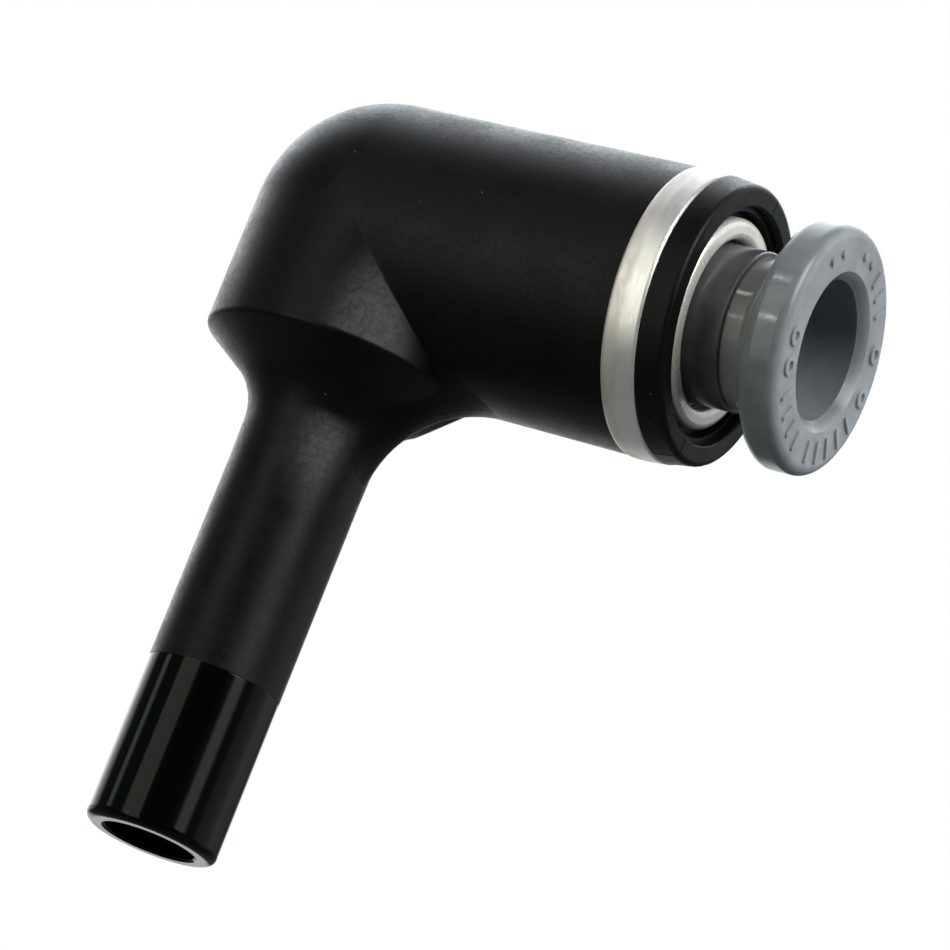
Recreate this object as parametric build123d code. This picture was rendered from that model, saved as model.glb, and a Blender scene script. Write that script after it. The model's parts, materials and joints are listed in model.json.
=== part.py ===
from build123d import *
import os
from math import hypot

# Plug-in elbow for 6.35 mm (1/4 in) tube, lying on its side. Millimetres.
# Origin: the centre of the plug stem's end face. The stem's axis runs along +Y to the corner, the tube
# port's axis runs from there along +X and out of the mouth, and +Z is square to both.
# Each piece is drawn from the corner, where the two axes meet, and is moved to that origin as it is written.

# Tube and plug stem
TUBE_R = 3.175
STEM_END_Y = -30.3
STEM_END_ROUND = 0.42
STEM_BORE_EASE = 0.12
FLOW_R = 2.2

# Hub and cone around the stem's root
HUB_R = 6.5
HUB_END_Y = -6.6
HUB_EDGE_ROUND = 0.3
CONE_END_Y = -8.72
CONE_ROOT_FILLET = 3.0

# Slight draft where the stem runs into the cone, above the length that plugs in
ROOT_DRAFT_Y = -12.08
ROOT_DRAFT = 0.06

# Big round in the elbow's inside corner, and the block that it is cut to
CORNER_ROUND = 5.4
CORNER_SINK = 0.02
CORNER_X = (1.0, 12.0)
CORNER_Y = (-16.0, -4.0)

# Small flat on the underside of the hub's edge, in the inside corner: its middle, the way it runs along
# the edge, the way it faces, and the length, width and height of the block that cuts it
FLAT_MIDDLE = (4.33, -6.51, -3.94)
FLAT_ALONG = (0.643, 0, 0.766)
FLAT_FACES = (0.549, -0.688, -0.474)
FLAT_BLOCK = (9, 4, 2)

# Barrel: drafted outside, with a thinner spigot at the mouth
BARREL_MOUTH_R = 6.74
SHOULDER_X = 14.68
SPIGOT_R = 5.7
SPIGOT_END_X = 16.6
SPIGOT_LEAD = 0.12
HOOK_GROOVE_R = 5.3
HOOK_GROOVE_X = (14.95, 15.65)

# Socket inside the barrel
TUBE_STOP_X = 5.4
PILOT_R = 3.23
CAVITY_X = 8.0
CAVITY_R = 4.8

# Swaged band
BAND_IN_R = 6.34
BAND_OUT_R = 6.8
BAND_X = (14.7, 16.38)
BAND_EDGE = 0.1
BAND_TAPER_X = 15.5
BAND_TAPER = 0.07

# Split mouth ring
SKIRT_R = (5.73, 6.31)
SKIRT_START_X = 14.78
HOOK_R = 5.34
HOOK_X = (15.0, 15.6)
HEAD_X = (16.42, 17.69)
HEAD_R = (6.68, 6.52)
HEAD_ROUND = 0.28
HEAD_REAR_FACE_X = 16.65
MOUTH_STEP_X = 17.24
MOUTH_STEP_R = 5.27
MOUTH_R = 5.56
MOUTH_EDGE = 0.06
SPLIT_GAP = 0.08

# Guide ring
GUIDE_LIP_R = (3.92, 4.92)
GUIDE_LIP_X = (16.6, 17.38)
GUIDE_LIP_ROUND = 0.34
GUIDE_SKIRT_R = (4.4, 4.79)
GUIDE_SKIRT_END_X = 12.98

# Release button, drawn fully out
BUTTON_BORE_R = 3.25
TIP_X = 14.76
TIP_R = 3.45
TIP_CHAMFER_X = 15.1
SLEEVE_R = 3.74
BEAD_X = (16.0, 16.56)
BEAD_R = 4.34
NECK_X = 18.98
NECK_R = 3.56
FLARE_X = 20.15
FLARE_END = (20.9, 4.72)
FLARE_FILLET = 0.6
NECK_EDGE_ROUND = 0.1
FLANGE_R = 5.82
FLANGE_X = (21.05, 22.94)
FLANGE_REAR_ROUND = 0.5
FLANGE_FRONT_ROUND = 0.55
LEAD_IN_R = 3.72
LEAD_IN_X = 22.52

# Raised marks on the button's front face: plain shapes placed by angle around the X axis, from +Y to +Z
MARK_RADIUS = 4.62
MARK_HEIGHT = 0.12
MARK_SINK = 0.05
MARK_STROKE = 0.22
MARK_LENGTH = 1.05
MARK_RING_R = 0.46
MARK_DOT_R = 0.2
MARK_BARS_AT = (-166, -153, -140, -127, -114, -44, -32, -20, 138, 150, 162, 174)
MARK_RINGS_AT = (-94, -68, 104, 121)
MARK_DOTS_AT = (-6, 6, 36, 50)

# Grip ring and the rings behind it
CLAW_COUNT = 10
CLAW_SLOT = 0.5
GRIP_T = 0.28
GRIP_R = 4.74
GRIP_BEND_R = 4.12
GRIP_X = 12.66
CLAW_TIP_R = 3.2
CLAW_TIP_X = 11.72
SUPPORT_X = (10.62, 12.62)
SUPPORT_R = (3.34, 4.78)
SUPPORT_LAND_END_X = 11.22
SUPPORT_MOUTH_R = 4.52
WASHER_X = (9.8, 10.58)
WASHER_R = (3.3, 4.77)
WASHER_EDGE = 0.15

# Seal, at its size around a tube
SEAL_MID_R = 3.99
SEAL_SECTION_R = 0.79
SEAL_X = 8.86

# Blocks that cut are longer than anything that they cut
CUTTER_SIZE = 60

X_AXIS = Axis.X
Y_AXIS = Axis.Y


def turned_about_x(points):
    """A turned solid from (x, radius) points."""
    return revolve(make_face(Polyline(*points, close=True)), X_AXIS)


def turned_about_y(points):
    """A turned solid from (radius, y) points."""
    return revolve(make_face(Polyline(*points, close=True)), Y_AXIS)


def ring(x0, x1, r_in, r_out):
    """A plain ring around the tube port's axis."""
    return turned_about_x([(x0, r_in), (x1, r_in), (x1, r_out), (x0, r_out)])


def edges_at(solid, x, radius, tolerance=0.02):
    """The circular edges around the X axis at one place along it and one radius."""
    found = []
    for edge in solid.edges().filter_by(GeomType.CIRCLE):
        centre = edge.arc_center
        on_axis = hypot(centre.Y, centre.Z) < tolerance
        if on_axis and abs(centre.X - x) < tolerance and abs(edge.radius - radius) < tolerance:
            found.append(edge)
    return found


def hub_and_stem():
    """Hub, cone and plug stem as one turned shape around the Y axis, solid for now."""
    outline = [
        (0, 0),
        (HUB_R, 0),
        (HUB_R, HUB_END_Y),
        (TUBE_R + ROOT_DRAFT, CONE_END_Y),
        (TUBE_R, ROOT_DRAFT_Y),
        (TUBE_R, STEM_END_Y),
        (0, STEM_END_Y),
    ]
    face = make_face(Polyline(*outline, close=True))
    corners = face.vertices()
    hub_edge = corners.sort_by_distance((HUB_R, HUB_END_Y, 0))[0]
    cone_root = corners.sort_by_distance((TUBE_R + ROOT_DRAFT, CONE_END_Y, 0))[0]
    stem_end = corners.sort_by_distance((TUBE_R, STEM_END_Y, 0))[0]
    face = fillet(hub_edge, HUB_EDGE_ROUND)
    cone_root = face.vertices().sort_by_distance(cone_root)[0]
    face = fillet(cone_root, CONE_ROOT_FILLET)
    stem_end = face.vertices().sort_by_distance(stem_end)[0]
    face = fillet(stem_end, STEM_END_ROUND)
    return revolve(face, Y_AXIS)


def hub_flat():
    """The block that cuts the flat on the hub's edge."""
    length, width, height = FLAT_BLOCK
    place = Plane(origin=FLAT_MIDDLE, x_dir=FLAT_ALONG, z_dir=FLAT_FACES)
    return place * Pos(0, 0, height / 2) * Box(length, width, height)


def barrel():
    """The drafted barrel with its shoulder, its spigot and the groove for the mouth ring's hooks."""
    groove_start, groove_end = HOOK_GROOVE_X
    return turned_about_x(
        [
            (0, 0),
            (0, HUB_R),
            (SHOULDER_X, BARREL_MOUTH_R),
            (SHOULDER_X, SPIGOT_R),
            (groove_start, SPIGOT_R),
            (groove_start, HOOK_GROOVE_R),
            (groove_end, HOOK_GROOVE_R),
            (groove_end, SPIGOT_R),
            (SPIGOT_END_X - SPIGOT_LEAD, SPIGOT_R),
            (SPIGOT_END_X, SPIGOT_R - SPIGOT_LEAD),
            (SPIGOT_END_X, 0),
        ]
    )


def barrel_r(x):
    """The drafted barrel's radius at one place along it."""
    return HUB_R + (BARREL_MOUTH_R - HUB_R) * x / SHOULDER_X


def inside_corner():
    """The round between the stem and the barrel's underside, made on a stem and barrel that are a little
    thinner, so that it runs out cleanly into the real ones."""
    start, end = CORNER_X
    low, high = CORNER_Y
    thin_barrel = turned_about_x(
        [
            (-end, 0),
            (-end, barrel_r(-end) - CORNER_SINK),
            (end, barrel_r(end) - CORNER_SINK),
            (end, 0),
        ]
    )
    thin_stem = turned_about_y([(0, 0), (TUBE_R - CORNER_SINK, 0), (TUBE_R - CORNER_SINK, low), (0, low)])
    joined = thin_barrel + thin_stem
    plain = (GeomType.LINE, GeomType.CIRCLE)
    meeting = [edge for edge in joined.edges() if edge.geom_type not in plain]
    block = Pos((start + end) / 2, (low + high) / 2, 0) * Box(end - start, high - low, 2 * HUB_R)
    return fillet(meeting, CORNER_ROUND) & block


def socket_hollow():
    """Everything that the tube port leaves open: cavity, tube pilot and flow passage."""
    return turned_about_x(
        [
            (0, 0),
            (0, FLOW_R),
            (TUBE_STOP_X, FLOW_R),
            (TUBE_STOP_X, PILOT_R),
            (CAVITY_X, PILOT_R),
            (CAVITY_X, CAVITY_R),
            (SPIGOT_END_X, CAVITY_R),
            (SPIGOT_END_X, 0),
        ]
    )


def stem_hollow():
    """The flow passage down the stem, eased where it opens at the stem's end."""
    return turned_about_y(
        [
            (0, 0),
            (FLOW_R, 0),
            (FLOW_R, STEM_END_Y + STEM_BORE_EASE),
            (FLOW_R + STEM_BORE_EASE, STEM_END_Y),
            (0, STEM_END_Y),
        ]
    )


def elbow_body():
    """One moulding: a ball corner that the hub and the barrel run out of, bored through."""
    outside = hub_and_stem() - hub_flat() + barrel() + Sphere(HUB_R) + inside_corner()
    return outside - socket_hollow() - stem_hollow() - Sphere(FLOW_R)


def outer_band():
    """A metal hoop, swaged in a little towards its front, with rounded outer edges."""
    start, end = BAND_X
    front_r = BAND_OUT_R - BAND_TAPER
    band = turned_about_x(
        [
            (start, BAND_IN_R),
            (end, BAND_IN_R),
            (end, front_r),
            (BAND_TAPER_X, BAND_OUT_R),
            (start, BAND_OUT_R),
        ]
    )
    return fillet(edges_at(band, start, BAND_OUT_R) + edges_at(band, end, front_r), BAND_EDGE)


def mouth_ring():
    """The whole mouth ring: a skirt under the band, a hook in the spigot's groove, and the head in front."""
    skirt_in, skirt_out = SKIRT_R
    hook_start, hook_end = HOOK_X
    head_start, head_end = HEAD_X
    head_rear_r, head_front_r = HEAD_R
    whole = turned_about_x(
        [
            (SKIRT_START_X, skirt_in),
            (hook_start, skirt_in),
            (hook_start, HOOK_R),
            (hook_end, HOOK_R),
            (hook_end, skirt_in),
            (HEAD_REAR_FACE_X, skirt_in),
            (HEAD_REAR_FACE_X, MOUTH_STEP_R),
            (MOUTH_STEP_X, MOUTH_STEP_R),
            (MOUTH_STEP_X, MOUTH_R),
            (head_end, MOUTH_R),
            (head_end, head_front_r),
            (head_start, head_rear_r),
            (head_start, skirt_out),
            (SKIRT_START_X, skirt_out),
        ]
    )
    whole = fillet(edges_at(whole, head_end, head_front_r), HEAD_ROUND)
    return chamfer(edges_at(whole, head_end, MOUTH_R), MOUTH_EDGE)


def mouth_half(side):
    """Half of the mouth ring, above (+1) or below (-1) the plane of the elbow, less half the joint gap."""
    block = Box(CUTTER_SIZE, CUTTER_SIZE, CUTTER_SIZE)
    return mouth_ring() & Pos(0, 0, side * (CUTTER_SIZE + SPLIT_GAP) / 2) * block


def guide_ring():
    """A drawn metal sleeve pressed into the cavity, with a rounded lip that faces out of the mouth."""
    lip_in, lip_out = GUIDE_LIP_R
    lip_rear, lip_front = GUIDE_LIP_X
    skirt_in, skirt_out = GUIDE_SKIRT_R
    sleeve = turned_about_x(
        [
            (GUIDE_SKIRT_END_X, skirt_in),
            (lip_rear, skirt_in),
            (lip_rear, lip_in),
            (lip_front, lip_in),
            (lip_front, lip_out),
            (lip_rear, lip_out),
            (lip_rear, skirt_out),
            (GUIDE_SKIRT_END_X, skirt_out),
        ]
    )
    front = edges_at(sleeve, lip_front, lip_in) + edges_at(sleeve, lip_front, lip_out)
    return fillet(front, GUIDE_LIP_ROUND)


def raised_mark(outline, turn):
    """One raised mark, sunk a little into the flange so that it is part of it."""
    solid = extrude(outline, MARK_HEIGHT + MARK_SINK, dir=(0, 0, 1))
    standing = Pos(FLANGE_X[1] - MARK_SINK, MARK_RADIUS, 0) * Rot(0, 90, 0) * solid
    return Rot(turn, 0, 0) * standing


def raised_marks():
    """All the marks: radial bars, small rings and dots."""
    bar = SlotOverall(MARK_LENGTH, MARK_STROKE, rotation=90)
    small_ring = Circle(MARK_RING_R) - Circle(MARK_RING_R - MARK_STROKE)
    dot = Circle(MARK_DOT_R)
    placed = [(bar, turn) for turn in MARK_BARS_AT]
    placed += [(small_ring, turn) for turn in MARK_RINGS_AT]
    placed += [(dot, turn) for turn in MARK_DOTS_AT]
    return [raised_mark(outline, turn) for outline, turn in placed]


def release_button():
    """Sleeve, retaining bead, stepped neck, flared back and flange with raised marks, bored for the tube."""
    bead_start, bead_end = BEAD_X
    flange_rear, flange_front = FLANGE_X
    flare_x, flare_r = FLARE_END
    button = turned_about_x(
        [
            (TIP_X, BUTTON_BORE_R),
            (TIP_X, TIP_R),
            (TIP_CHAMFER_X, SLEEVE_R),
            (bead_start, SLEEVE_R),
            (bead_start, BEAD_R),
            (bead_end, BEAD_R),
            (bead_end, SLEEVE_R),
            (NECK_X, SLEEVE_R),
            (NECK_X, NECK_R),
            (FLARE_X, NECK_R),
            (flare_x, flare_r),
            (flange_rear, FLANGE_R),
            (flange_front, FLANGE_R),
            (flange_front, LEAD_IN_R),
            (LEAD_IN_X, BUTTON_BORE_R),
        ]
    )
    button = fillet(edges_at(button, flange_rear, FLANGE_R), FLANGE_REAR_ROUND)
    button = fillet(edges_at(button, flange_front, FLANGE_R), FLANGE_FRONT_ROUND)
    button = fillet(edges_at(button, FLARE_X, NECK_R), FLARE_FILLET)
    button = fillet(edges_at(button, NECK_X, SLEEVE_R), NECK_EDGE_ROUND)
    for mark in raised_marks():
        button += mark
    return button


def claw_slot(turn):
    """The cutter for one slot between two claws, from the ring's bend inwards."""
    block = Box(CUTTER_SIZE, CLAW_SLOT, GRIP_BEND_R)
    return Rot(turn, 0, 0) * Pos(0, 0, GRIP_BEND_R / 2) * block


def grip_ring():
    """A spring-steel ring: a flat rim and claws that lean in and back, towards the inside of the socket."""
    run_x = GRIP_X - CLAW_TIP_X
    run_r = GRIP_BEND_R - CLAW_TIP_R
    run = hypot(run_x, run_r)
    across_x = GRIP_T * run_r / run
    across_r = GRIP_T * run_x / run
    cone = turned_about_x(
        [
            (GRIP_X, GRIP_R),
            (GRIP_X, GRIP_BEND_R),
            (CLAW_TIP_X, CLAW_TIP_R),
            (CLAW_TIP_X + across_x / 2, CLAW_TIP_R),
            (GRIP_X + GRIP_T, GRIP_BEND_R + (GRIP_T - across_x) * run_r / run_x - across_r),
            (GRIP_X + GRIP_T, GRIP_R),
        ]
    )
    for claw in range(CLAW_COUNT):
        cone -= claw_slot(360 / CLAW_COUNT * claw)
    return cone


def claw_support():
    """The ring behind the claws, with a conical mouth that they bend into."""
    start, end = SUPPORT_X
    r_in, r_out = SUPPORT_R
    return turned_about_x(
        [
            (start, r_in),
            (SUPPORT_LAND_END_X, r_in),
            (end, SUPPORT_MOUTH_R),
            (end, r_out),
            (start, r_out),
        ]
    )


def backup_washer():
    """The washer between the claws' support and the seal."""
    start, end = WASHER_X
    r_in, r_out = WASHER_R
    washer = ring(start, end, r_in, r_out)
    return chamfer(edges_at(washer, start, r_in), WASHER_EDGE)


def tube_seal():
    """An O-ring at the bottom of the cavity, at its size around a tube."""
    section = Plane.XY * Pos(SEAL_X, SEAL_MID_R) * Circle(SEAL_SECTION_R)
    return revolve(section, X_AXIS)


PIECES = {
    "elbow_body": elbow_body(),
    "outer_band": outer_band(),
    "mouth_half_upper": mouth_half(1),
    "mouth_half_lower": mouth_half(-1),
    "guide_ring": guide_ring(),
    "release_button": release_button(),
    "grip_ring": grip_ring(),
    "claw_support": claw_support(),
    "backup_washer": backup_washer(),
    "tube_seal": tube_seal(),
}

os.makedirs("parts", exist_ok=True)
for name, shape in PIECES.items():
    export_step(Pos(0, -STEM_END_Y, 0) * shape, f"parts/{name}.step")
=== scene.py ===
import json
import math

import bpy
from mathutils import Matrix, Vector


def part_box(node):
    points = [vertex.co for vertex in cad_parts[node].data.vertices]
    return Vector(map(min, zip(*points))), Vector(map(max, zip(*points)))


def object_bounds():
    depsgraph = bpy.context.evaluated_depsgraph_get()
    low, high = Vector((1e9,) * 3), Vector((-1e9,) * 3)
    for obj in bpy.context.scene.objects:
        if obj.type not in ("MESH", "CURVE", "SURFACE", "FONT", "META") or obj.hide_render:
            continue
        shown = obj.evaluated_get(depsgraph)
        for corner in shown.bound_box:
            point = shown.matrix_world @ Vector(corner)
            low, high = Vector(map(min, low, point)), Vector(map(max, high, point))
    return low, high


# Looks for the plug-in elbow. Metres, in the row frame: the stem runs along +Y from the origin, the tube
# port's axis leaves the corner along +X, and the fitting lies on its side with +Z up.

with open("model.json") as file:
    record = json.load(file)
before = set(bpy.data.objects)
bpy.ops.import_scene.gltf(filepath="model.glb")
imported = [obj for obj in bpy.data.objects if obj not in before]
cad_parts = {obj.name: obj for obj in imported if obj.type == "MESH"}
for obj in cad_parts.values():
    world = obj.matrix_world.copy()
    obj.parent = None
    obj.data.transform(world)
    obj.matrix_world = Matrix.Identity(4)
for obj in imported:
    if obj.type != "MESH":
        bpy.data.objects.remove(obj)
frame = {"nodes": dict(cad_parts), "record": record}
cad_low, cad_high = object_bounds()

MM = 0.001
MOUNTS = {mount["name"]: mount for mount in frame["record"]["mounts"]}
CORNER_Y = MOUNTS["tube_port"]["pos_m"][1]


# ---------------------------------------------------------------- node helpers

class Graph:
    """A small wrapper that adds nodes to a material or world and links or sets their inputs."""

    def __init__(self, tree):
        self.tree = tree
        tree.nodes.clear()

    def put(self, socket, value):
        if isinstance(value, bpy.types.NodeSocket):
            self.tree.links.new(value, socket)
        elif value is not None:
            socket.default_value = value

    def add(self, kind, inputs=None, out=0, **settings):
        made = self.tree.nodes.new(kind)
        for key, value in settings.items():
            setattr(made, key, value)
        for key, value in (inputs or {}).items():
            self.put(made.inputs[key], value)
        return made.outputs[out]

    def math(self, operation, a, b=None, c=None):
        return self.add("ShaderNodeMath", {0: a, 1: b, 2: c}, operation=operation)

    def vector(self, operation, a, b=None, out="Vector"):
        return self.add("ShaderNodeVectorMath", {0: a, 1: b}, out=out, operation=operation)

    def ramp(self, value, low, high, to_low=0.0, to_high=1.0):
        """Value goes smoothly from to_low at low to to_high at high, and stays there beyond them."""
        inputs = {0: value, 1: low, 2: high, 3: to_low, 4: to_high}
        return self.add("ShaderNodeMapRange", inputs, interpolation_type="SMOOTHSTEP", clamp=True)

    def mix(self, share, a, b):
        """Between two colours."""
        made = self.tree.nodes.new("ShaderNodeMix")
        made.data_type = "RGBA"
        self.put(made.inputs[0], share)
        self.put(made.inputs[6], a)
        self.put(made.inputs[7], b)
        return made.outputs[2]

    def between(self, share, a, b):
        """Between two numbers."""
        return self.add("ShaderNodeMix", {0: share, 2: a, 3: b}, data_type="FLOAT")

    def noise(self, place, scale, detail=2.0, rough=0.5, out=0):
        """Cloudy values round 0.5. Scale is the number of features in a metre of place."""
        inputs = {"Vector": place, "Scale": scale, "Detail": detail, "Roughness": rough}
        return self.add("ShaderNodeTexNoise", inputs, out=out)

    def bump(self, height, distance, normal=None):
        """Distance is the height, in metres, that a full step of the height value stands for."""
        return self.add("ShaderNodeBump", {"Distance": distance, "Height": height, "Normal": normal})


class Material(Graph):
    """A material with a Principled shader and the places that its textures use."""

    def __init__(self, name):
        self.made = bpy.data.materials.new(name)
        self.made.use_nodes = True
        super().__init__(self.made.node_tree)
        end = self.tree.nodes.new("ShaderNodeOutputMaterial")
        self.shader = self.tree.nodes.new("ShaderNodeBsdfPrincipled")
        self.tree.links.new(self.shader.outputs[0], end.inputs[0])
        self.place = self.add("ShaderNodeTexCoord", out="Object")
        split = self.tree.nodes.new("ShaderNodeSeparateXYZ")
        self.tree.links.new(self.place, split.inputs[0])
        self.x, self.y, self.z = split.outputs
        self.off_axis_y = self.math("SUBTRACT", self.y, CORNER_Y)

    def set(self, **values):
        for key, value in values.items():
            self.put(self.shader.inputs[key.replace("_", " ")], value)
        return self.made

    def port_radius(self):
        """Distance from the tube port's axis."""
        square = self.math("MULTIPLY", self.z, self.z)
        return self.math("SQRT", self.math("MULTIPLY_ADD", self.off_axis_y, self.off_axis_y, square))

    def around_port(self, along, around):
        """A place for turned marks, made of the distance along the port's axis and the angle round it.

        along is the marks in a metre, and around is the radius of the circle that the angle runs on.
        """
        angle = self.math("ARCTAN2", self.z, self.off_axis_y)
        inputs = {
            0: self.math("MULTIPLY", self.x, along),
            1: self.math("MULTIPLY", self.math("COSINE", angle), around),
            2: self.math("MULTIPLY", self.math("SINE", angle), around),
        }
        return self.add("ShaderNodeCombineXYZ", inputs)

    def mirrored_place(self):
        """Along the port, past the corner along the stem's axis, and away from the plane of both axes."""
        height = self.math("ABSOLUTE", self.z)
        return self.add("ShaderNodeCombineXYZ", {0: self.x, 1: self.off_axis_y, 2: height})

    def patch(self, place, middle, squeeze, core, reach):
        """1 within core of the middle and 0 beyond reach. A squeeze below 1 lengthens it along that axis."""
        away = self.vector("MULTIPLY", self.vector("SUBTRACT", place, middle), squeeze)
        return self.ramp(self.vector("LENGTH", away, out="Value"), reach, core)

    def edge_wear_and_highlight(self, radius):
        """1 along sharp edges and 0 elsewhere, from how far a rounded normal turns off the plain one."""
        barely_turned, well_turned = 0.98, 0.80
        rounded = self.add("ShaderNodeBevel", {"Radius": radius}, samples=4)
        plain = self.add("ShaderNodeNewGeometry", out="Normal")
        agreement = self.vector("DOT_PRODUCT", rounded, plain, out="Value")
        return self.ramp(agreement, barely_turned, well_turned)


# ---------------------------------------------------------------- materials

STEM_GLOSS_Y = 8.0 * MM

# The painted highlight on the hub's cheeks and at the stem's root, a pale grey patch in the colour: places
# as Material.mirrored_place gives them
CHEEK_MIDDLE = Vector((3.4, -5.6, 5.5)) * MM
CHEEK_SQUEEZE = (1.0, 0.55, 1.0)
CHEEK_CORE, CHEEK_REACH = 0.5 * MM, 2.7 * MM
ROOT_MIDDLE = Vector((2.0, -10.6, 2.7)) * MM
ROOT_SQUEEZE = (1.0, 0.5, 1.0)
ROOT_CORE, ROOT_REACH = 0.1 * MM, 2.0 * MM


def painted_highlight_patches(m):
    """1 where a painted highlight, a pale grey patch in the colour, goes: on the hub's cheeks and on the
    stem just below the cone.
    """
    place = m.mirrored_place()
    cheek = m.patch(place, CHEEK_MIDDLE, CHEEK_SQUEEZE, CHEEK_CORE, CHEEK_REACH)
    above_cone = m.ramp(m.off_axis_y, -6.50 * MM, -6.35 * MM)
    cheek = m.math("MULTIPLY", cheek, above_cone)
    hub_side_of_mitre = m.ramp(m.math("ADD", m.x, m.off_axis_y), 0.05 * MM, -0.20 * MM)
    cheek = m.math("MULTIPLY", cheek, hub_side_of_mitre)
    root = m.patch(place, ROOT_MIDDLE, ROOT_SQUEEZE, ROOT_CORE, ROOT_REACH)
    below_cone = m.ramp(m.off_axis_y, -9.2 * MM, -9.8 * MM)
    root = m.math("MULTIPLY", root, below_cone)
    mottle = m.ramp(m.noise(m.place, 3400, 5, 0.75), 0.32, 0.68, 0.45, 1.0)
    return m.math("MULTIPLY", m.math("MAXIMUM", cheek, root), mottle)


def black_nylon(name, glossy_stem=False):
    """Moulded black nylon: fine grain, faint cloudy tint, specks of dust, and paler edges that are partly
    wear and partly painted highlight.
    """
    cool_black, warm_black = (0.0021, 0.0030, 0.0032, 1), (0.0044, 0.0040, 0.0031, 1)
    grain_black, gloss_black = (0.0070, 0.0067, 0.0063, 1), (0.0016, 0.0016, 0.0017, 1)
    edge_grey, dust_grey = (0.0393, 0.0386, 0.0365, 1), (0.114, 0.114, 0.107, 1)
    painted_highlight_grey = (0.093, 0.093, 0.090, 1)
    tint_strength = (0.0115, 0.0115, 0.0115)
    depth = 0.0055 * MM

    m = Material(name)
    cloud = m.noise(m.place, 420, 3, 0.55)
    grain = m.noise(m.place, 5200, 4, 0.62)
    tint = m.noise(m.place, 14000, 2, 0.6, out="Color")
    base = m.mix(m.ramp(cloud, 0.35, 0.68), cool_black, warm_black)
    base = m.mix(m.ramp(grain, 0.45, 0.75, 0.0, 0.5), base, grain_black)
    base = m.mix(0.18, base, m.vector("MULTIPLY", tint, tint_strength))
    speck = m.ramp(m.add("ShaderNodeTexVoronoi", {"Vector": m.place, "Scale": 640.0}), 0.035, 0.02)
    # Paler edges: partly wear, partly a painted highlight along the edges.
    edge = m.math("MULTIPLY", m.edge_wear_and_highlight(0.12 * MM), m.ramp(m.noise(m.place, 1900, 3), 0.4, 0.62))
    base = m.mix(m.math("MULTIPLY", edge, 0.6), base, edge_grey)
    base = m.mix(m.math("MULTIPLY", speck, 0.8), base, dust_grey)
    rough = m.ramp(grain, 0.3, 0.75, 0.36, 0.50)
    rough = m.math("ADD", rough, m.ramp(cloud, 0.3, 0.7, -0.04, 0.05))
    lumps = m.noise(m.place, 900, 2)
    height = m.math("ADD", m.math("MULTIPLY", lumps, 0.9), grain)
    height = m.math("MULTIPLY_ADD", speck, 1.2, height)
    if glossy_stem:
        matt = m.ramp(m.y, STEM_GLOSS_Y - 0.02 * MM, STEM_GLOSS_Y + 0.03 * MM)
        drawn = m.noise(m.vector("MULTIPLY", m.place, (1.0, 0.06, 1.0)), 1500, 2)
        rough = m.between(matt, m.ramp(drawn, 0.3, 0.7, 0.075, 0.12), rough)
        height = m.between(matt, m.math("MULTIPLY", drawn, 0.10), height)
        off_line = m.math("ABSOLUTE", m.math("SUBTRACT", m.y, STEM_GLOSS_Y))
        height = m.math("ADD", height, m.ramp(off_line, 0.0, 0.07 * MM, -0.6, 0.0))
        base = m.mix(matt, gloss_black, base)
        # Painted highlight: pale grey patches on the hub's cheeks and at the stem's root.
        base = m.mix(painted_highlight_patches(m), base, painted_highlight_grey)
    normal = m.bump(height, depth)
    return m.set(Base_Color=base, Roughness=rough, Normal=normal, Specular_IOR_Level=0.17)


def nickel_band(name):
    """Satin nickel with soft turning lines and a rounded, smoother front, whose colour holds a paler painted
    highlight; painted shade darkens the +Y side.
    """
    plate_dark, plate_light = (0.82, 0.75, 0.71, 1), (0.96, 0.91, 0.87, 1)
    blotch_tint, front_highlight_tint = (0.66, 0.60, 0.55, 1), (1.0, 0.97, 0.95, 1)
    painted_shade_tint = (0.46, 0.43, 0.41, 1)
    front_radius = 0.26 * MM
    depth = 0.0012 * MM

    m = Material(name)
    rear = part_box("outer_band")[0].x
    lines = m.noise(m.around_port(9000.0, 10.0), 1.0, 3, 0.6)
    streaks = m.noise(m.around_port(2600.0, 3.0), 1.0, 2, 0.5)
    blotch = m.noise(m.place, 420, 3, 0.6)
    front = m.ramp(m.x, rear + 0.55 * MM, rear + 0.95 * MM)
    base = m.mix(m.ramp(streaks, 0.3, 0.7), plate_dark, plate_light)
    base = m.mix(m.ramp(blotch, 0.42, 0.75, 0.0, 0.35), base, blotch_tint)
    # Painted highlight: the front's colour is paler.
    base = m.mix(m.math("MULTIPLY", front, 0.9), base, front_highlight_tint)
    # Painted shade: the +Y side of the band is darker.
    base = m.mix(m.ramp(m.off_axis_y, 3.0 * MM, 5.1 * MM, 0.0, 0.95), base, painted_shade_tint)
    rough = m.ramp(lines, 0.3, 0.7, 0.38, 0.48)
    rough = m.math("ADD", rough, m.ramp(blotch, 0.35, 0.7, -0.03, 0.05))
    rough = m.math("SUBTRACT", rough, m.math("MULTIPLY", front, 0.06))
    rounded = m.add("ShaderNodeBevel", {"Radius": front_radius}, samples=8)
    normal = m.bump(m.math("MULTIPLY_ADD", streaks, 2.0, lines), depth, rounded)
    metallic = m.between(front, 0.58, 0.74)
    return m.set(Base_Color=base, Metallic=metallic, Roughness=rough, Normal=normal)


def turned_steel(name, tint, stained, low_rough, high_rough, depth, metallic=1.0):
    """Bright steel with fine turning lines and a few stains."""
    m = Material(name)
    lines = m.noise(m.around_port(30000.0, 7.0), 1.0, 3, 0.6)
    wide = m.noise(m.around_port(3800.0, 3.0), 1.0, 2)
    stain = m.noise(m.place, 700, 4, 0.6)
    base = m.mix(m.ramp(stain, 0.45, 0.72), tint, stained)
    rough = m.ramp(lines, 0.3, 0.7, low_rough, high_rough)
    rough = m.math("ADD", rough, m.ramp(stain, 0.4, 0.7, 0.0, 0.06))
    normal = m.bump(m.math("MULTIPLY_ADD", wide, 2.0, lines), depth)
    return m.set(Base_Color=base, Metallic=metallic, Roughness=rough, Normal=normal)


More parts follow.
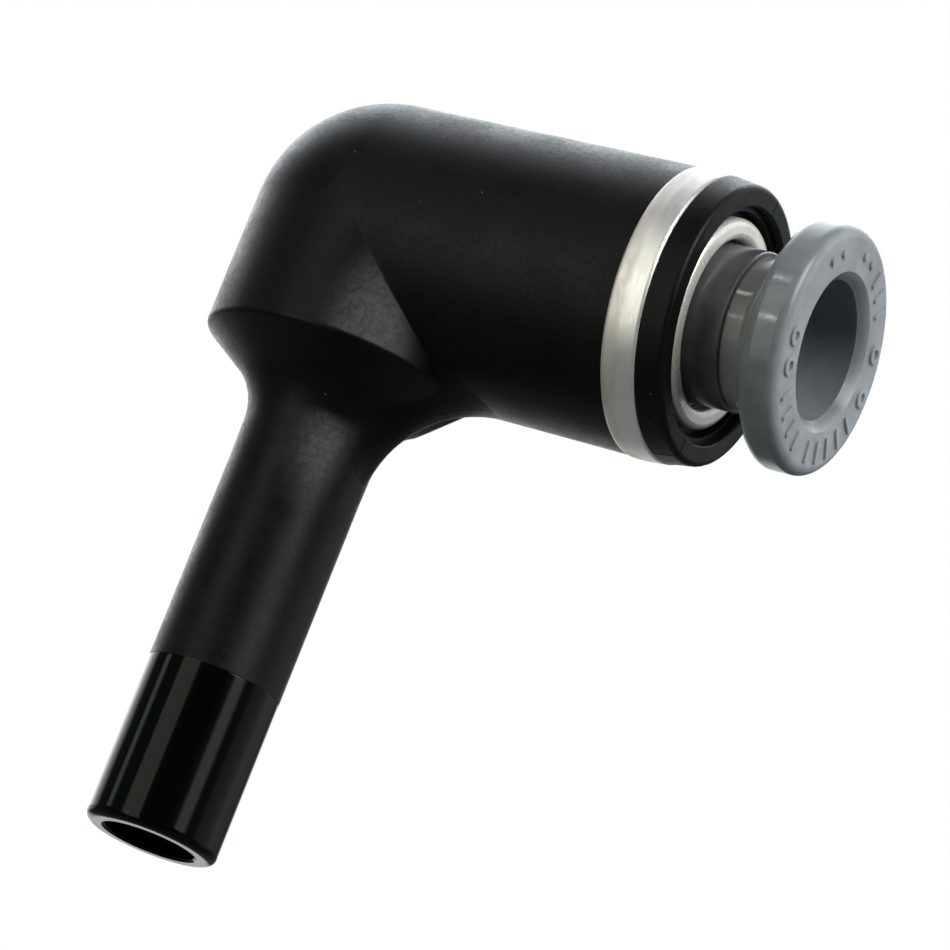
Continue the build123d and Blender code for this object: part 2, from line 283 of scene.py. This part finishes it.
def smoky_acetal(name):
    """Smoky grey, slightly translucent: a blue-grey flange whose face is painted paler for the light falling
    on it, a waist painted paler partly for light showing through the plastic, and a dark sleeve.
    """
    rim_dull, rim_fresh = (0.197, 0.216, 0.233, 1), (0.254, 0.272, 0.290, 1)
    lit_face_dull, lit_face_fresh = (0.303, 0.319, 0.344, 1), (0.382, 0.397, 0.426, 1)
    waist_dull, waist_fresh = (0.202, 0.211, 0.203, 1), (0.257, 0.265, 0.257, 1)
    sleeve_dull, sleeve_fresh = (0.100, 0.106, 0.113, 1), (0.143, 0.146, 0.154, 1)
    bore_dull, bore_fresh = (0.189, 0.211, 0.230, 1), (0.244, 0.266, 0.285, 1)
    edge_grey = (0.257, 0.279, 0.286, 1)
    depth = 0.0035 * MM

    m = Material(name)
    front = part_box("release_button")[1].x
    sleeve_end = front - 4.05 * MM
    waist_end = front - 2.30 * MM
    cloud = m.noise(m.place, 520, 3, 0.6)
    grain = m.noise(m.place, 6500, 3, 0.6)
    fresh = m.ramp(cloud, 0.3, 0.7)
    # Painted light: the flange's face is paler than its rim, for the light that falls on the face.
    face = m.ramp(m.x, front - 0.45 * MM, front - 0.10 * MM)
    flange = m.mix(fresh, m.mix(face, rim_dull, lit_face_dull), m.mix(face, rim_fresh, lit_face_fresh))
    # The waist's paler grey is partly its own tone and partly painted light showing through the plastic.
    waist = m.mix(fresh, waist_dull, waist_fresh)
    sleeve = m.mix(fresh, sleeve_dull, sleeve_fresh)
    bore = m.mix(fresh, bore_dull, bore_fresh)
    base = m.mix(m.ramp(m.x, sleeve_end - 0.05 * MM, sleeve_end + 0.10 * MM), sleeve, waist)
    base = m.mix(m.ramp(m.x, waist_end, waist_end + 0.5 * MM), base, flange)
    in_bore = m.ramp(m.port_radius(), 3.50 * MM, 3.36 * MM)
    base = m.mix(in_bore, base, bore)
    edge = m.math("MULTIPLY", m.edge_wear_and_highlight(0.12 * MM), m.ramp(m.noise(m.place, 2300, 3), 0.35, 0.6))
    base = m.mix(m.math("MULTIPLY", edge, 0.35), base, edge_grey)
    rough = m.ramp(grain, 0.3, 0.7, 0.13, 0.19)
    rough = m.math("ADD", rough, m.ramp(cloud, 0.3, 0.7, -0.02, 0.06))
    height = m.math("MULTIPLY_ADD", m.noise(m.place, 1500, 2), 1.6, grain)
    normal = m.bump(height, depth)
    m.shader.subsurface_method = "RANDOM_WALK"
    return m.set(
        Base_Color=base, Roughness=rough, Normal=normal, Subsurface_Weight=0.45,
        Subsurface_Scale=0.8 * MM, Subsurface_Radius=(1.0, 1.0, 1.0), Specular_IOR_Level=0.3)


def pale_acetal(name):
    """Natural acetal with a slightly uneven tint, tool marks and paler edges."""
    cream, white, edge_white = (0.68, 0.67, 0.62, 1), (0.80, 0.79, 0.75, 1), (0.88, 0.88, 0.85, 1)
    m = Material(name)
    cloud = m.noise(m.place, 600, 3, 0.6)
    lines = m.noise(m.around_port(18000.0, 5.0), 1.0, 3, 0.6)
    base = m.mix(m.ramp(cloud, 0.3, 0.7), cream, white)
    base = m.mix(m.math("MULTIPLY", m.edge_wear_and_highlight(0.08 * MM), 0.4), base, edge_white)
    rough = m.ramp(lines, 0.3, 0.7, 0.34, 0.48)
    return m.set(Base_Color=base, Roughness=rough, Normal=m.bump(lines, 0.003 * MM))


def nitrile(name):
    """Black rubber with a faint bloom and a fine grain."""
    clean_black, bloomed_black = (0.010, 0.010, 0.011, 1), (0.026, 0.026, 0.027, 1)
    m = Material(name)
    cloud = m.noise(m.place, 800, 3, 0.6)
    grain = m.noise(m.place, 9000, 3, 0.6)
    base = m.mix(m.ramp(cloud, 0.35, 0.7), clean_black, bloomed_black)
    rough = m.ramp(grain, 0.3, 0.7, 0.38, 0.55)
    return m.set(Base_Color=base, Roughness=rough, Normal=m.bump(grain, 0.004 * MM))


def paint(material, *nodes):
    """Gives CAD nodes one material."""
    for name in nodes:
        mesh = frame["nodes"][name].data
        mesh.materials.clear()
        mesh.materials.append(material)


cream_steel, stained_cream_steel = (1.0, 0.95, 0.90, 1), (0.92, 0.85, 0.79, 1)
grey_steel, stained_grey_steel = (0.58, 0.57, 0.55, 1), (0.42, 0.40, 0.37, 1)

paint(black_nylon("nylon_with_glossy_stem", glossy_stem=True), "elbow_body")
paint(black_nylon("black_nylon"), "mouth_half_upper", "mouth_half_lower")
paint(nickel_band("nickel_plate"), "outer_band")
polished = turned_steel(
    "polished_steel", cream_steel, stained_cream_steel, low_rough=0.24, high_rough=0.36,
    depth=0.0010 * MM, metallic=0.45)
paint(polished, "guide_ring")
spring = turned_steel(
    "spring_steel", grey_steel, stained_grey_steel, low_rough=0.24, high_rough=0.40, depth=0.0025 * MM)
paint(spring, "grip_ring")
paint(smoky_acetal("smoky_acetal"), "release_button")
paint(pale_acetal("white_acetal"), "claw_support", "backup_washer")
paint(nitrile("nitrile"), "tube_seal")


# ---------------------------------------------------------------- light

WORLD_STRENGTH = 1.4
AMBIENT = (0.070, 0.080, 0.083)

# Where the viewer stands the room is dark: azimuth, elevation, and the angles where the dark fades out
VIEWER_SIDE = (-30, 60, 30, 42)

# Soft patches of light: colour, azimuth, elevation, and the angles from the patch's middle where it starts
# to fade and where it ends, in degrees. Only the camera sees the floor, so the patches below the horizon
# stand for what a pale table sends back.
LIGHT_PATCHES = (
    ((2.30, 2.46, 2.58), 128, -36, 8, 46),  # beyond the corner, wide
    ((1.00, 0.97, 0.94), 170, -22, 8, 22),  # behind the hub
    ((0.88, 0.93, 0.88), 192, -52, 5, 22),  # under the hub
    ((0.52, 0.55, 0.58), 60, -38, 10, 40),  # beyond the port
    ((0.26, 0.30, 0.31), 15, -30, 16, 28),  # in front of the port
    ((6.20, 6.20, 6.05), 38, 22, 10, 22),  # a bright window, high beyond the port
    ((1.35, 1.40, 1.32), 13, 21, 6, 12),  # its dimmer neighbour
    ((1.00, 1.20, 1.35), 167, 25, 2, 6),  # small and high, behind the hub
    ((0.05, 0.048, 0.043), -110, -35, 20, 60),  # faint, past the stem's end
)

SOFTBOX_AT = (-0.185, -0.04, 0.5)
SOFTBOX_SIZE = (0.31, 0.62)
SOFTBOX_RADIANCE = 1.47
SOFTBOX_COLOUR = (0.98, 1.0, 0.84)

# Two small lamps, for the sparkles
LAMP_DIRECTIONS = ((-0.411, -0.016, 0.911), (-0.41, 0.552, 0.726))
LAMPS_ROUND = Vector((0.018, 0.031, 0.003))
LAMP_DISTANCE = 0.6
LAMP_AIM = Vector((0.008, 0.025, 0.0))
LAMP_SIZE = (0.006, 0.006)
LAMP_RADIANCE = 700
LAMP_COLOUR = (0.95, 0.98, 1.0)


def unit(azimuth, elevation):
    """The direction at an angle round from +X towards +Y, and an angle above the floor."""
    a = math.radians(azimuth)
    e = math.radians(elevation)
    return Vector((math.cos(a) * math.cos(e), math.sin(a) * math.cos(e), math.sin(e)))


def surroundings():
    """A dim room with soft patches of light round the fitting, and dark on the viewer's side."""
    world = bpy.data.worlds.new("studio")
    bpy.context.scene.world = world
    world.use_nodes = True
    g = Graph(world.node_tree)
    direction = g.vector("NORMALIZE", g.add("ShaderNodeTexCoord", out="Generated"))

    def lobe(azimuth, elevation, inner, outer):
        """1 within inner degrees of a direction and 0 beyond outer."""
        along = g.vector("DOT_PRODUCT", direction, unit(azimuth, elevation), out="Value")
        return g.ramp(along, math.cos(math.radians(outer)), math.cos(math.radians(inner)))

    def scaled(colour, share):
        return g.add("ShaderNodeVectorMath", {0: colour, "Scale": share}, operation="SCALE")

    total = scaled(AMBIENT, g.math("SUBTRACT", 1.0, lobe(*VIEWER_SIDE)))
    for colour, *where in LIGHT_PATCHES:
        total = g.vector("ADD", total, scaled(colour, lobe(*where)))
    background = g.add("ShaderNodeBackground", {"Color": total, "Strength": WORLD_STRENGTH})
    end = g.tree.nodes.new("ShaderNodeOutputWorld")
    g.tree.links.new(background, end.inputs[0])


def area_light(name, middle, size, radiance, colour):
    """A rectangular light of a given brightness, facing straight down and unseen by the camera."""
    light = bpy.data.lights.new(name, "AREA")
    light.shape = "RECTANGLE"
    light.size, light.size_y = size
    light.energy = radiance * math.pi * size[0] * size[1]
    light.color = colour
    holder = bpy.data.objects.new(name, light)
    bpy.context.scene.collection.objects.link(holder)
    holder.location = middle
    holder.rotation_mode = "QUATERNION"
    holder.visible_camera = False
    return holder


surroundings()
area_light("overhead_softbox", SOFTBOX_AT, SOFTBOX_SIZE, SOFTBOX_RADIANCE, SOFTBOX_COLOUR)
for number, direction in enumerate(LAMP_DIRECTIONS, 1):
    lamp_at = LAMPS_ROUND + Vector(direction) * LAMP_DISTANCE
    lamp = area_light(f"lamp_{number}", lamp_at, LAMP_SIZE, LAMP_RADIANCE, LAMP_COLOUR)
    lamp.rotation_quaternion = (LAMP_AIM - lamp_at).to_track_quat("-Z", "Y")


# ---------------------------------------------------------------- floor and camera

def studio_floor(height):
    """A plain white floor under a plain white dome. Only the camera sees them: they light nothing."""
    flat, top, rings, sides = 2.5, 3.0, 24, 96
    rises = [math.pi / 2 * ring / rings for ring in range(1, rings + 1)]
    turns = [2 * math.pi * side / sides for side in range(sides)]
    profile = [(0.0, 0.0), (flat, 0.0)]
    profile += [(flat * math.cos(rise), top * math.sin(rise)) for rise in rises]
    points = [(r * math.cos(turn), r * math.sin(turn), height + z) for r, z in profile for turn in turns]
    faces = []
    for ring in range(len(profile) - 1):
        inner = ring * sides
        outer = inner + sides
        for side in range(sides):
            after = (side + 1) % sides
            faces.append((inner + side, inner + after, outer + after, outer + side))
    mesh = bpy.data.meshes.new("studio_floor")
    mesh.from_pydata(points, [], faces)
    floor = bpy.data.objects.new("studio_floor", mesh)
    bpy.context.scene.collection.objects.link(floor)
    white = bpy.data.materials.new("studio_white")
    white.use_nodes = True
    g = Graph(white.node_tree)
    glow = g.add("ShaderNodeEmission", {"Color": (1, 1, 1, 1), "Strength": 1.0})
    end = g.tree.nodes.new("ShaderNodeOutputMaterial")
    g.tree.links.new(glow, end.inputs[0])
    mesh.materials.append(white)
    for ray in ("diffuse", "glossy", "transmission", "volume_scatter", "shadow"):
        setattr(floor, f"visible_{ray}", False)


studio_floor(cad_low.z)

# The camera looks down on the fitting from the port's side and from past the stem's end
LENS_MM = 276.0
SENSOR_MM = 36.0
CAMERA_AT = Vector((151.954, -62.272, 286.271)) * MM
CAMERA_FORWARD = Vector((-0.433735, 0.250451, -0.865534)).normalized()
ROUGH_RIGHT = Vector((0.872404, 0.356979, -0.333882))
CAMERA_RIGHT = (ROUGH_RIGHT - CAMERA_FORWARD * ROUGH_RIGHT.dot(CAMERA_FORWARD)).normalized()
CAMERA_UP = CAMERA_RIGHT.cross(CAMERA_FORWARD)

lens = bpy.data.cameras.new("camera")
lens.lens = LENS_MM
lens.sensor_width = SENSOR_MM
lens.clip_start = 0.01
lens.clip_end = 100.0
camera = bpy.data.objects.new("camera", lens)
bpy.context.scene.collection.objects.link(camera)
turned = Matrix((CAMERA_RIGHT, CAMERA_UP, -CAMERA_FORWARD)).transposed().to_4x4()
camera.matrix_world = Matrix.Translation(CAMERA_AT) @ turned
bpy.context.scene.camera = camera

bpy.context.scene.view_settings.view_transform = "Standard"
bpy.context.scene.view_settings.look = "None"
